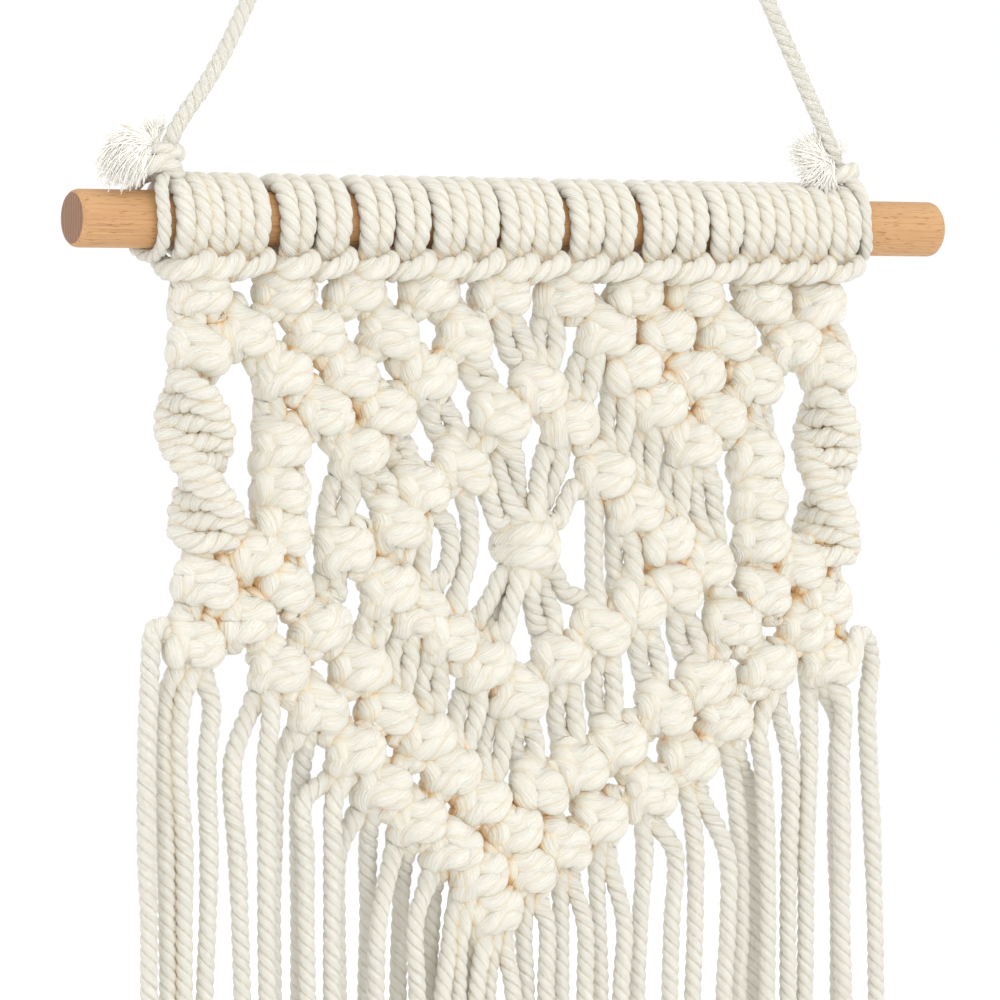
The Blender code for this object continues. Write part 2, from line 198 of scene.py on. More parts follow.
class Socket:
    """A node's output in a formula, so that shader maths reads as maths."""

    def __init__(self, tree, link):
        self.tree = tree
        self.link = link

    def node(self, kind, settings=None, out=0, **sockets):
        made = self.tree.nodes.new(kind)
        for key, value in (settings or {}).items():
            if key == "stops":
                ramp = made.color_ramp.elements
                while len(ramp) < len(value):
                    ramp.new(1.0)
                for element, (place, colour) in zip(ramp, value):
                    element.position = place
                    element.color = colour
            else:
                setattr(made, key, value)
        for key, value in sockets.items():
            name = int(key[1:]) if key[0] == "_" else key.replace("_", " ")
            if isinstance(value, Socket):
                self.tree.links.new(value.link, made.inputs[name])
            else:
                made.inputs[name].default_value = value
        return Socket(self.tree, made.outputs[out])

    def maths(self, operation, *values):
        sockets = {f"_{i}": value for i, value in enumerate(values)}
        return self.node("ShaderNodeMath", {"operation": operation}, **sockets)

    def __add__(self, other):
        return self.maths("ADD", self, other)

    def __radd__(self, other):
        return self.maths("ADD", other, self)

    def __sub__(self, other):
        return self.maths("SUBTRACT", self, other)

    def __rsub__(self, other):
        return self.maths("SUBTRACT", other, self)

    def __mul__(self, other):
        return self.maths("MULTIPLY", self, other)

    def __rmul__(self, other):
        return self.maths("MULTIPLY", other, self)

    def noise(self, scale, detail=2.0, roughness=0.5):
        return self.node("ShaderNodeTexNoise", Vector=self, Scale=scale, Detail=detail,
                         Roughness=roughness)

    def ramp(self, *stops):
        return self.node("ShaderNodeValToRGB", {"stops": stops}, Fac=self)

    def mix(self, low, high):
        """low where this is 0 and high where it is 1, as colours."""
        return self.node("ShaderNodeMix", {"data_type": "RGBA", "clamp_factor": True}, out=2,
                         _0=self, _6=low, _7=high)


def new_material(name):
    """A material with its Principled shader, and a Socket to start formulas from."""
    made = bpy.data.materials.new(name)
    made.use_nodes = True
    tree = made.node_tree
    shader = tree.nodes["Principled BSDF"]
    return made, shader, Socket(tree, None)


LOOSE_CREAM = ((0.872, 0.850, 0.742, 1.0), (0.893, 0.874, 0.778, 1.0))    # two tones
PACKED_SHADED_CREAM = ((0.80, 0.775, 0.674, 1.0), (0.826, 0.805, 0.712, 1.0))    # duller where it is pressed: partly the denser cotton's tone, partly painted shade on the knots
STREAK_AND_SHADE = (0.81, 0.76, 0.63, 1.0)         # fine fibre streaks, and painted shade between its yarns
GROOVE_SHADE = (0.74, 0.64, 0.46, 1.0)         # painted shade between its strands
CONTACT_SHADE = (0.86, 0.69, 0.43, 1.0)         # painted shade where two cords touch
SHADED = (0.90, 0.74, 0.49, 1.0)         # painted shade among other cords
DEEP_SHADE = (0.80, 0.47, 0.18, 1.0)           # painted deep shade, deep among them


def cotton_material(name):
    """Undyed cotton: yarns and fine fibres along each strand. Shade is painted in warm tones where little
    light gets in: between its yarns, in the grooves between its strands, where cords touch and among other
    cords; where it is pressed it is painted duller, partly as shade.
    """
    made, shader, start = new_material(name)
    lay = start.node("ShaderNodeUVMap", {"uv_map": "lay"})
    across = start.node("ShaderNodeSeparateXYZ", Vector=lay)
    along = start.node("ShaderNodeSeparateXYZ", out=1, Vector=lay)
    angle = across * (2 * math.pi)
    around = start.node("ShaderNodeCombineXYZ", X=start.maths("COSINE", angle),
                        Y=start.maths("SINE", angle), Z=along * 0.55)
    place = start.node("ShaderNodeTexCoord", out=3)
    fibres = around.noise(9.0, 4.0, 0.62)
    wander = around.noise(1.7, 2.0)
    yarns = start.maths("COSINE", (across * 15.0 + wander * 2.4) * (2 * math.pi)) * 0.5 + 0.5
    blotches = place.noise(45.0, 2.0)
    groove = start.node("ShaderNodeAttribute", {"attribute_name": "groove"}, out=2)
    hemmed = start.node("ShaderNodeAttribute", {"attribute_name": "hemmed"}, out=2)
    touching = start.node("ShaderNodeAttribute", {"attribute_name": "touching"}, out=2)
    firm = start.node("ShaderNodeAttribute", {"attribute_name": "firm"}, out=2)
    lines = yarns * 0.35 + fibres * 1.3 - 0.325
    loose = blotches.mix(*LOOSE_CREAM)
    # duller cream where the cord is pressed, partly painted shade on the knots
    packed_shaded = blotches.mix(*PACKED_SHADED_CREAM)
    cream = firm.mix(loose, packed_shaded)
    # fibre streaks, darker where the yarn pattern is low: partly painted shade between the yarns
    streaked_and_shaded = (lines * 1.6 - 0.2).mix(STREAK_AND_SHADE, cream)
    # painted shade in the grooves between the strands
    groove_shaded = (groove * groove * groove * 0.7).mix(streaked_and_shaded, GROOVE_SHADE)
    # painted shade in the creases where two cords touch
    contact_shaded = (touching * 0.7).mix(groove_shaded, CONTACT_SHADE)
    # painted shade among other cords, by how much they keep the light off
    shaded = (hemmed * 2.0).mix(contact_shaded, SHADED)
    # painted deep shade where the cords around keep out the most light
    deep_shaded = (hemmed * 2.8 - 0.8).mix(shaded, DEEP_SHADE)
    tree = made.node_tree
    tree.links.new(deep_shaded.link, shader.inputs["Base Color"])
    shader.inputs["Roughness"].default_value = 0.95
    shader.inputs["Specular IOR Level"].default_value = 0.1
    shader.inputs["Sheen Weight"].default_value = 0.2
    shader.inputs["Sheen Roughness"].default_value = 0.6
    bump = start.node("ShaderNodeBump", Height=lines, Strength=0.8, Distance=0.0007)
    tree.links.new(bump.link, shader.inputs["Normal"])
    return made


cotton = cotton_material("cotton")
ROD_DROP = 168.0                # mm, from the nail down to the rod's axis
HANG_ROUTE = (                  # x and z in mm from the nail
    (-87.4, -155.6), (-86.4, -153.2), (-84.9, -149.4), (-81.6, -144.2), (-77.4, -138.8),
    (-72.2, -130.5), (-62.3, -110.7), (-52.4, -90.8),
    (-42.5, -70.9), (-32.6, -51.0), (-22.7, -31.2), (-14.7, -15.2), (-10.6, -7.2),
    (-7.6, -2.6), (-4.0, 0.8), (0.0, 2.0), (4.0, 0.8), (7.6, -2.6),
    (10.8, -7.4), (15.0, -15.3), (23.2, -31.2), (33.5, -51.1), (43.8, -70.9),
    (54.1, -90.8), (64.4, -110.7), (74.7, -130.6), (79.6, -140.0), (83.4, -147.5),
    (85.6, -152.6), (86.5, -155.4),
)
hang_line = smooth_line([(x, 0.0, z) for x, z in HANG_ROUTE], 1.0)
hanging = laid_cord("hanging_cord_laid", hang_line, radius=1.87)
hanging.data.materials.append(cotton)
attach(hanging, "root")
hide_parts("hanging_cord")


# ---- folded cords: heading, net, spirals and fringe ----
# Twenty lengths of the same cotton cord, each folded over the dowel with a lark's head. Every four
# neighbouring ends of the forty are tied in square knots, the outer two round the inner two, and
# those at the sides in spirals of half knots. Below their last knots the ends hang as a fringe.
HEADS = (-84.0, -76.9, -69.8, -58.7, -49.8, -39.1, -30.1, -20.7, -12.8, -3.5,
         3.9, 14.4, 22.8, 33.4, 41.8, 51.1, 59.6, 67.7, 75.0, 82.9)
# position, then (x, drop below the rod's axis) in mm of each knot that ties ends
# 2 * position - 1 to 2 * position + 2
KNOTS = (
    (1, ((-80.9, 15.4), (-80.9, 28.4), (-79.6, 79.0), (-82.3, 92.0))),
    (2, ((-69.9, 24.7), (-68.0, 72.8), (-69.9, 87.2))),
    (3, ((-60.2, 15.3), (-60.9, 33.4), (-61.1, 49.1), (-61.3, 58.6), (-60.9, 68.1),
         (-60.9, 80.0), (-61.6, 97.8))),
    (4, ((-52.5, 24.6), (-50.8, 41.7), (-51.1, 89.3), (-51.8, 107.0))),
    (5, ((-42.6, 14.7), (-44.4, 33.8), (-41.9, 50.3), (-45.4, 72.0), (-41.6, 98.3), (-42.9, 116.2))),
    (6, ((-34.4, 24.6), (-35.4, 41.7), (-32.2, 66.8), (-34.3, 81.0), (-34.7, 107.9), (-35.9, 124.2))),
    (7, ((-24.4, 14.6), (-24.9, 34.0), (-26.4, 59.0), (-26.9, 86.2), (-25.4, 113.9), (-26.9, 132.0))),
    (8, ((-15.3, 25.2), (-16.0, 54.9), (-19.6, 92.0), (-18.8, 121.7), (-18.6, 138.3))),
    (9, ((-5.9, 14.9), (-6.1, 43.2), (-9.9, 98.2), (-11.0, 128.6), (-11.5, 144.8))),
    (10, ((3.4, 37.0), (-1.5, 105.1), (-3.0, 135.3), (-7.9, 152.9))),
    (11, ((10.3, 15.3), (11.9, 44.4), (9.3, 97.6), (3.6, 126.7), (0.8, 144.6))),
    (12, ((21.0, 24.4), (21.2, 56.1), (19.7, 91.5), (14.5, 122.0), (9.8, 139.2))),
    (13, ((28.6, 15.2), (28.3, 32.3), (28.8, 63.8), (29.6, 86.2), (24.4, 117.0), (19.2, 133.5))),
    (14, ((37.0, 24.4), (34.9, 40.2), (37.4, 71.0), (39.3, 82.3), (36.2, 109.8), (32.3, 128.0))),
    (15, ((44.6, 15.5), (44.6, 33.7), (44.1, 49.3), (47.3, 76.5), (47.7, 103.7), (43.2, 121.0))),
    (16, ((53.2, 25.5), (50.8, 43.2), (54.5, 90.3), (52.5, 112.0))),
    (17, ((62.3, 16.8), (60.4, 35.0), (60.9, 52.4), (61.9, 62.1), (62.9, 71.6),
          (62.9, 83.5), (64.1, 100.5))),
    (18, ((70.6, 26.6), (71.9, 77.2), (74.1, 92.3))),
    (19, ((77.4, 17.9), (80.1, 31.4), (79.3, 86.0), (80.4, 99.5))),
)
NET_Y = -4.0
CENTRE_KNOT = (1.3, 72.0)       # x and drop: ends 18 and 23 tied round ends 19 to 22
CENTRE_WIDE, CENTRE_TALL, CENTRE_LEAN = 0.80, 1.15, -0.03     # against the other knots
TUCK_FROM, TUCK = 3.0, 1.2      # past this far across, its loop is tucked back so steeply
# end, first and last drop, x at each of them, turn (degrees) at the first half knot, and width
SPIRALS = ((1, 35.6, 69.6, -83.4, -78.2, 67.5, 1.1), (37, 39.2, 75.6, 80.7, 80.4, 67.5, 0.98))
HALF_KNOTS = 9                  # in each spiral
SPIRAL_TURN = 36.4              # degrees from one half knot to the next

# one square knot in mm round its middle: across, towards the back, and up
LEFT_END = (
    (-4.2, 1.8, 4.6), (-4.9, 0.6, 3.2), (-4.3, -1.8, 2.1), (-2.2, -3.7, 1.75), (0.4, -4.4, 1.7),
    (2.9, -4.1, 1.7), (5.0, -2.7, 1.6), (6.2, -0.7, 1.0), (6.4, -0.1, 0.0), (6.2, -0.7, -1.0),
    (5.0, -2.7, -1.6), (2.9, -4.1, -1.7), (0.4, -4.4, -1.7), (-2.2, -3.7, -1.75),
    (-4.3, -1.8, -2.1), (-4.9, 0.6, -3.2), (-4.2, 1.8, -4.6),
)
RIGHT_END = (
    (3.7, 0.6, 4.7), (4.3, 0.1, 3.4), (4.2, 0.0, 2.0), (3.8, 0.4, 1.0), (3.2, 2.0, 1.0),
    (1.8, 3.8, 1.5), (0.0, 4.3, 2.0), (-2.4, 3.6, 2.5), (-4.0, 1.8, 2.9), (-5.0, 0.0, 2.7),
    (-5.5, -1.9, 1.8), (-5.6, -2.5, 0.7), (-5.6, -2.5, -0.7), (-5.5, -1.9, -1.8),
    (-5.0, 0.0, -2.7), (-4.0, 1.8, -2.9), (-2.4, 3.6, -2.5), (0.0, 4.3, -2.0), (1.8, 3.8, -1.5),
    (3.2, 2.0, -1.0), (3.8, 0.4, -1.0), (4.2, 0.0, -2.0), (4.3, 0.1, -3.4), (3.7, 0.6, -4.7),
)
CORE = ((0.0, 0.2, 3.0), (0.0, -0.9, 0.0), (0.0, 0.2, -3.0))
# the way of one end of a half-knot spiral, from its crossing at the front to its crossing at the
# back; the last column counts half knots downwards. The way back to the front is the same, turned.
SPIRAL_HALF = (
    (0.0, -3.1, 0.0), (3.0, -2.6, -0.15), (5.2, -1.3, -0.05), (6.3, 0.1, 0.42),
    (5.3, 1.5, 0.95), (3.0, 2.6, 1.15),
)
SPIRAL_END = SPIRAL_HALF + tuple((-a, -b, down + 1.0) for a, b, down in SPIRAL_HALF)
# half of a lark's head, from the middle of its front bar: across, back, up; the last column
# slants the bar, so that each one starts below the end of the one before
HEAD = (
    (0.0, -9.8, -10.4, 0.0), (2.6, -9.4, -10.2, 0.9), (4.0, -6.6, -9.8, 1.5),
    (3.9, -3.0, -9.6, 1.2), (3.4, 1.5, -9.0, 0.4), (2.8, 5.5, -6.5, 0.0), (2.3, 8.0, -2.6, 0.0),
    (2.1, 8.3, 1.6, 0.0), (2.1, 6.6, 5.2, 0.0), (2.1, 2.8, 8.0, 0.0), (2.1, -1.6, 8.3, 0.0),
    (2.1, -5.6, 6.4, 0.0), (2.1, -8.0, 2.4, 0.0), (1.9, -8.3, -2.0, 0.0), (1.6, -6.9, -5.6, 0.0),
    (1.4, -5.2, -9.0, 0.0),
)
# how the forty ends hang below their last knots: how far each is towards the back, and (drop, x)
FRINGE = (
    (-5, ((93.1, -93.0), (103.8, -93.3), (116.8, -93.8), (136.2, -93.8),
          (151.3, -93.3), (166.4, -93.3))),
    (-2.5, ((102.0, -87.5), (108.4, -88.4), (117.1, -88.4), (136.6, -88.0), (151.7, -87.7), (166.9, -87.5))),
    (-4, ((104.1, -84.8), (117.1, -85.8), (136.6, -84.4), (151.8, -84.4), (166.9, -84.4))),
    (-4, ((97.8, -77.1), (104.3, -77.8), (117.3, -78.8), (136.9, -78.3), (152.0, -78.6), (167.2, -79.3))),
    (-4, ((104.5, -72.2), (117.5, -72.5), (137.1, -71.5), (152.4, -70.8), (167.7, -70.3))),
    (-5, ((109.0, -63.7), (117.7, -64.9), (137.3, -64.7), (152.6, -64.9), (167.9, -64.7))),
    (-1.5, ((109.3, -59.2), (118.1, -59.9), (137.7, -61.4), (153.0, -61.6), (168.4, -61.4))),
    (2.5, ((127.3, -52.9), (138.3, -52.9), (153.8, -52.9), (169.2, -52.9))),
    (-5, ((118.0, -55.1), (126.8, -55.6), (137.7, -55.3), (153.0, -55.1), (168.4, -54.8))),
    (-5, ((127.0, -48.2), (138.0, -48.4), (153.3, -48.7), (168.7, -48.7))),
    (-1, ((127.4, -44.3), (138.4, -44.8), (153.8, -45.3), (169.2, -45.0))),
    (2.5, ((139.0, -35.7), (154.5, -35.7), (170.0, -36.2))),
    (-5, ((138.5, -36.4), (153.9, -36.9), (169.3, -37.7))),
    (2.5, ((143.8, -26.8), (154.9, -27.6), (170.4, -28.1))),
    (-5, ((143.2, -28.2), (154.3, -27.7), (169.8, -27.4))),
    (2.5, ((148.6, -19.0), (155.3, -19.5), (170.8, -20.5))),
    (-5, ((148.0, -19.6), (154.7, -19.8), (170.1, -20.8))),
    (-4, ((154.9, -15.7), (170.4, -16.5))),
    (0, ((157.7, -12.2), (171.1, -11.7))),
    (-5, ((157.2, -12.5), (170.6, -12.2))),
    (-3, ((157.6, -8.5), (171.0, -8.3))),
    (-5, ((157.7, -3.2), (171.1, -3.0))),
    (-3, ((155.8, 1.0), (171.5, 1.5))),
    (-5, ((146.9, 6.0), (155.8, 5.5), (171.5, 5.5))),
    (-3, ((147.2, 10.5), (156.2, 10.5), (171.9, 10.5))),
    (-5, ((142.8, 15.1), (156.3, 15.4), (172.0, 15.6))),
    (-3, ((143.1, 19.9), (156.7, 20.2), (172.5, 20.7))),
    (-5, ((141.0, 27.1), (156.8, 25.8), (172.5, 25.0))),
    (-3, ((136.9, 32.3), (141.4, 32.5), (157.2, 31.2), (173.0, 30.4))),
    (-4, ((134.8, 39.0), (141.6, 39.6), (157.5, 39.0), (173.3, 38.5))),
    (-4, ((128.2, 44.9), (141.8, 45.2), (157.7, 45.2), (173.6, 44.6))),
    (-5, ((128.4, 51.5), (142.1, 52.8), (158.0, 53.3), (173.9, 52.3))),
    (-2, ((124.2, 56.5), (142.5, 58.4), (158.5, 58.7), (174.5, 57.9))),
    (2.5, ((131.6, 64.7), (143.1, 65.3), (159.2, 65.3), (175.3, 64.7))),
    (-5, ((115.0, 61.4), (121.9, 62.5), (142.5, 63.8), (158.5, 64.1), (174.5, 63.8))),
    (-4, ((108.4, 69.3), (122.2, 70.7), (142.8, 70.4), (158.9, 70.1), (174.9, 70.1))),
    (-4, ((106.3, 75.8), (122.4, 75.8), (143.0, 75.0), (159.1, 75.0), (175.2, 74.7))),
    (2.5, ((113.9, 87.9), (123.1, 87.6), (144.0, 87.4), (160.2, 87.9), (176.5, 87.9))),
    (-5, ((108.8, 84.2), (122.6, 83.9), (143.3, 84.2), (159.5, 84.2), (175.6, 84.7))),
    (-4, ((101.0, 92.8), (109.0, 91.7), (122.9, 92.2), (143.8, 93.3), (160.0, 93.9), (176.2, 94.2))),
)
FRINGE_DROP = 320.0             # mm below the rod's axis
SWAY = 0.7                      # mm, how far a hanging end strays from straight
DEPTH = 0.88                    # how deep the knots are pulled, against the points above
TALL = 1.14                     # and how tall
UNEVEN = 0.27                   # mm, how far each point of a square knot strays
chance = np.random.default_rng(11)
# each knot is pulled a little differently: turned (degrees), leaning (slope) and wide
TILTS = {(x, drop): (chance.uniform(-8, 8), chance.uniform(-0.26, 0.06), chance.uniform(0.70, 0.77))
         for _, places in KNOTS for x, drop in places}


def knot_points(template, x, drop, turn=0.0, wide=1.0, lean=0.0, uneven=0.0):
    """A template's points, placed at a knot, turned about its upright axis and leaning sideways."""
    c, s = math.cos(math.radians(turn)), math.sin(math.radians(turn))
    placed = []
    for a, b, up in template:
        a, up = a - lean * up, up + lean * a
        a, b, up = a * wide, b * DEPTH, up * TALL
        place = np.array((x + a * c - b * s, NET_Y + a * s + b * c, -drop + up))
        placed.append(tuple(place + chance.normal(0.0, uneven, 3)))
    return placed


def spiral_points(end, first, last, x_first, x_last, turn, wide):
    """The way of one of a spiral's four ends through its half knots."""
    pitch = (last - first) / (HALF_KNOTS - 1)
    way = []
    for level in range(-1, HALF_KNOTS + 1):
        if end in (1, 2):
            steps = ((-1.8 if end == 1 else 1.8, 0.0, 0.0),)
        elif (level % 2 == 0) == (end == 0):
            steps = SPIRAL_END
        else:
            continue
        for a, b, down in steps:
            down = level + down
            if -0.2 <= down <= HALF_KNOTS - 0.8:
                x = x_first + (x_last - x_first) * down / (HALF_KNOTS - 1)
                way += knot_points(((a, b, 0.0),), x, first + down * pitch,
                                   turn + SPIRAL_TURN * down, wide)
    return way


# where an end leaves a knot sideways and bows out: by end and knot, how many of the knot's last
# points it skips, and the points that it goes through instead
BOWS = {
    (18, 54.9): (3, ((-10.4, -4.5, -57.2), (-8.2, -4.5, -62.2), (-6.2, -4.0, -66.6))),
    (23, 56.1): (1, ((14.6, -3.0, -58.6), (10.8, -3.8, -61.6), (8.8, -3.8, -66.2))),
    (16, 59.0): (1, ((-19.4, -4.0, -67.0), (-18.3, -4.0, -71.0), (-19.2, -4.0, -77.0))),
    (17, 54.9): (0, ((-13.8, -4.0, -65.0), (-13.6, -4.0, -72.0), (-15.8, -4.0, -80.0))),
    (18, 72.0): (0, ((-4.6, -3.0, -81.5), (-8.6, -2.6, -88.2), (-12.4, -1.8, -89.6))),
    (23, 72.0): (1, ((7.2, -2.8, -77.6), (10.8, -2.0, -82.6))),
}
# the outermost ends arch up and outwards from their last knots, given in the same way
ARCHES = {
    1: (2, ((-88.2, -3.6, -91.0), (-89.6, -4.4, -88.6), (-91.8, -5.0, -88.4))),
    40: (4, ((84.6, -7.6, -99.0), (86.2, -7.0, -95.4), (88.4, -6.0, -93.6), (90.8, -5.2, -95.0))),
}


def end_route(end):
    """The points of one hanging end through all its knots, from below its lark's head."""
    ties = []
    for position, places in KNOTS:
        slot = end - (2 * position - 1)
        if 0 <= slot <= 3:
            ties += [(drop, x, slot, None) for x, drop in places]
    if 18 <= end <= 23:
        ties.append((CENTRE_KNOT[1], CENTRE_KNOT[0], end, "centre"))
    for first_end, *spiral in SPIRALS:
        if first_end <= end < first_end + 4:
            ties.append((spiral[0], None, end - first_end, spiral))
    points = []
    for drop, x, slot, kind in sorted(ties, key=lambda tie: tie[0]):
        if kind == "centre":
            if slot in (18, 23):
                turned = RIGHT_END if slot == 18 else LEFT_END
                tucked = [(-a, b + max(0.0, a - TUCK_FROM) * TUCK, up * CENTRE_TALL)
                          for a, b, up in turned]
                added = knot_points(tucked, x, drop, wide=CENTRE_WIDE, lean=CENTRE_LEAN)
            else:
                a, b = ((-1.5, 1.6), (-1.3, -1.3), (1.3, -1.3), (1.5, 1.6))[slot - 19]
                added = knot_points([(a, b, up) for _, _, up in CORE], x, drop)
        elif kind:
            added = spiral_points(slot, *kind)
        else:
            turn, lean, wide = TILTS[x, drop]
            template = (LEFT_END, [(-1.5, b, up) for _, b, up in CORE],
                        [(1.5, b, up) for _, b, up in CORE], RIGHT_END)[slot]
            added = knot_points(template, x, drop, turn, wide, lean, UNEVEN)
        skipped, bow = BOWS.get((end, drop), (0, ()))
        points += added[:len(added) - skipped] + list(bow)
    return points


STEP = 1.2                      # mm between the points that are settled
routes = []
for number, head_x in enumerate(HEADS):
    halves = []
    for side in (-1, 1):
        end = 2 * number + (1 if side < 0 else 2)
        over = [(head_x + side * a, b, up + side * slant) for a, b, up, slant in HEAD]
        tied = end_route(end)
        back, hangs = FRINGE[end - 1]
        skipped, arch = ARCHES.get(end, (0, ()))
        tied = tied[:len(tied) - skipped] + list(arch)
        below = tied[-1][2] - 5.0
        free = [(x, back, -drop) for drop, x in hangs if -drop < below]
        drop, x = hangs[-1]
        sway = chance.uniform(-SWAY, SWAY, 5)
        free += [(x + sway[k], back, -drop - (FRINGE_DROP - drop) * (k + 1) / 5) for k in range(5)]
        halves.append(over + tied + free)
    routes.append(smooth_line(halves[0][:0:-1] + halves[1], STEP))

lengths = [len(route) for route in routes]
firsts = np.concatenate([[0], np.cumsum(lengths)])
P = np.vstack(routes)
cord_of = np.repeat(np.arange(len(routes)), lengths)

FREE_BELOW = -185.0             # mm: from here down the fringe hangs as it is drawn
home = P.copy()
is_free = P[:, 2] < FREE_BELOW
inner = np.ones(len(P), dtype=bool)
inner[firsts[:-1]] = False
inner[firsts[1:] - 1] = False
moving = inner & ~is_free
index = np.flatnonzero(moving)

CONTACT = 2.45                  # mm between two cords that press on each other in a knot
BESIDE = 4.6                    # and between two that lie side by side in the net
SIDE_BY_SIDE = 2.8              # mm of contact above which a pair counts as lying so
ROD_CONTACT = 8.2               # mm between a cord and the rod's axis
HEADING_FOOT = -12.0            # mm, height of the heading's lower edge
NET_FOOT = (-8.0, -150.0)       # mm, x and height of the point of the net's V-shaped foot
FOOT_SLOPES = (1.0, 0.72)       # how fast its edge rises from there, to the left and to the right
TIED_WITHIN = 6.5               # mm from a knot's middle, in which its ends are held
LOOSE_OVER = 3.0                # mm further on, at which they are loose
SPIRAL_MIDDLES = 33             # places that stand for a spiral's middle line
SWEEPS = 48
FRESH_PAIRS = 8                 # sweeps before the pairs near each other are listed anew
LISTED = 0.8                    # mm beyond contact at which a pair is listed
SAME_CORD = (4, 12)             # points between a pair on one cord, in a knot and side by side
SMOOTHED = 0.5                  # how far a point follows its neighbours' moves in a sweep
KEPT = 0.975                    # how much of its own move it keeps
PUSH, FURTHEST = 0.25, 0.8      # share of an overlap that each one gives way, and mm at most
EASED = 0.8                     # how much of all its pushes a point follows
ASIDE = 0.3                     # share of a push that moves loose cords forwards or back


def search_tree(points, wanted=None):
    """A tree for finding the points near a place, out of all of them or of those wanted."""
    tree = kdtree.KDTree(len(points))
    for i, point in enumerate(points):
        if wanted is None or wanted[i]:
            tree.insert(point, i)
    tree.balance()
    return tree


middles = [(x, NET_Y, -drop) for _, places in KNOTS for x, drop in places]
middles.append((CENTRE_KNOT[0], NET_Y, -CENTRE_KNOT[1]))
for _, first, last, x_first, x_last, _, _ in SPIRALS:
    for k in range(SPIRAL_MIDDLES):
        middles.append((x_first + (x_last - x_first) * k / (SPIRAL_MIDDLES - 1), NET_Y,
                        -first - (last - first) * k / (SPIRAL_MIDDLES - 1)))
held = search_tree(middles)
contact = np.full(len(P), CONTACT)
for i in index:
    x, _, z = P[i]
    foot = (NET_FOOT[1] + FOOT_SLOPES[0] * max(0.0, NET_FOOT[0] - x)
            + FOOT_SLOPES[1] * max(0.0, x - NET_FOOT[0]))
    if HEADING_FOOT > z > foot:
        loose = min(1.0, max(0.0, (held.find(P[i])[2] - TIED_WITHIN) / LOOSE_OVER))
        contact[i] += (BESIDE - CONTACT) * loose
for sweep in range(SWEEPS):
    if sweep % FRESH_PAIRS == 0:
        tree = search_tree(P, ~is_free)
        a_list = []
        b_list = []
        for i in index:
            least = SAME_CORD[0] if contact[i] < SIDE_BY_SIDE else SAME_CORD[1]
            for _, j, _ in tree.find_range(P[i], contact[i] + LISTED):
                if j > i and (cord_of[j] != cord_of[i] or j - i > least):
                    a_list.append(i)
                    b_list.append(j)
        pair_a = np.array(a_list)
        pair_b = np.array(b_list)
        pair_contact = np.minimum(contact[pair_a], contact[pair_b])
    # the cord gives way evenly: what moves is smoothed along it, and it pulls back a little
    gone = P - home
    gone[index] += SMOOTHED * (0.5 * (gone[index - 1] + gone[index + 1]) - gone[index])
    P[index] = home[index] + KEPT * gone[index]
    for _ in range(2):
        apart = P[pair_a] - P[pair_b]
        away = np.linalg.norm(apart, axis=1)
        touching = away < pair_contact
        overlap = np.clip(pair_contact - away, 0, FURTHEST)
        share = (PUSH * overlap / np.maximum(away, 1e-6))[:, None] * apart
        share[pair_contact > SIDE_BY_SIDE, 1] *= ASIDE
        share = share[touching]
        for axis in range(3):
            shift = (np.bincount(pair_a[touching], share[:, axis], len(P))
                     - np.bincount(pair_b[touching], share[:, axis], len(P)))
            P[index, axis] += shift[index] * EASED
    off = np.hypot(P[:, 1], P[:, 2])
    sunk = moving & (off < ROD_CONTACT)
    P[sunk, 1:] *= (ROD_CONTACT / off[sunk])[:, None]

world = P + np.array([0.0, 0.0, -ROD_DROP])
lines = [even_line(world[a:b], 0.9) for a, b in zip(firsts, firsts[1:])]
every = np.vstack(lines)
tree = search_tree(every)
REACH = 10.0                    # mm, how far off other cords still keep the light out
OPEN, SHUT = 0.85, 2.4          # the sums at which painted shade starts on a place, and is darkest
THIN = 2                        # one in so many points of a cord stands for it there
LIGHT_KEPT = 1.17               # what one point of a cord would keep out at 1 mm
NEAREST = 2.2                   # mm, nearer than which it keeps out no more
OWN = 3                         # of a cord's own points on each side that don't count
BESIDE_WITHIN = 5.5             # mm, within which a cord may touch this one
TOUCH, TOUCH_FADES = 2.9, 0.8   # mm from its centre line where touching starts, and full nearer


def hemming(offset):
    """How far the cords around a cord keep light from each place on its surface, 0 to 1."""

    def measure(line, across, points):
        kept = np.zeros(across.shape[:2])
        close = np.full(across.shape[:2], REACH)
        for i, point in enumerate(line):
            near = [j for _, j, _ in tree.find_range(point, REACH)
                    if j % THIN == 0 and abs(j - offset - i) > OWN]
            if near:
                apart = every[near] - point
                away = np.maximum(np.linalg.norm(apart, axis=1), NEAREST)
                facing = np.clip(across[i] @ (apart / away[:, None]).T, 0, 1)
                kept[i] = (facing * (THIN * LIGHT_KEPT / away ** 2)).sum(1)
                beside = apart[away < BESIDE_WITHIN]
                if len(beside):
                    gap = np.linalg.norm(points[i][:, None] - point - beside[None], axis=2)
                    close[i] = gap.min(1)
        shut_in = np.clip((kept - OPEN) / (SHUT - OPEN), 0, 1)
        return shut_in, np.clip((TOUCH - close) / TOUCH_FADES, 0, 1)

    return measure


hubs = [(x, y, z - ROD_DROP) for x, y, z in middles]
SPIRAL_GRIP = 0.35              # how hard a spiral presses its cords, against a square knot
grip = np.ones(len(hubs))
grip[-SPIRAL_MIDDLES * len(SPIRALS):] = SPIRAL_GRIP
hub_tree = search_tree(hubs)
PRESSED_WITHIN, PRESS_FADES = 7.0, 4.0   # mm from a knot's middle, and mm further to nothing
HEADING_UNDER = 8.5             # mm below the rod's axis, down to which cords lie on the dowel
DOWEL_PRESS = 0.3               # how hard they are pressed there
NETTED = (12.0, 16.0, 140.0, 150.0)      # mm of drop: cords are thicker in the net, fading at its edges
THICKER = 0.17                  # mm
START_TURN = 1.7                # how differently the twist of each next cord starts


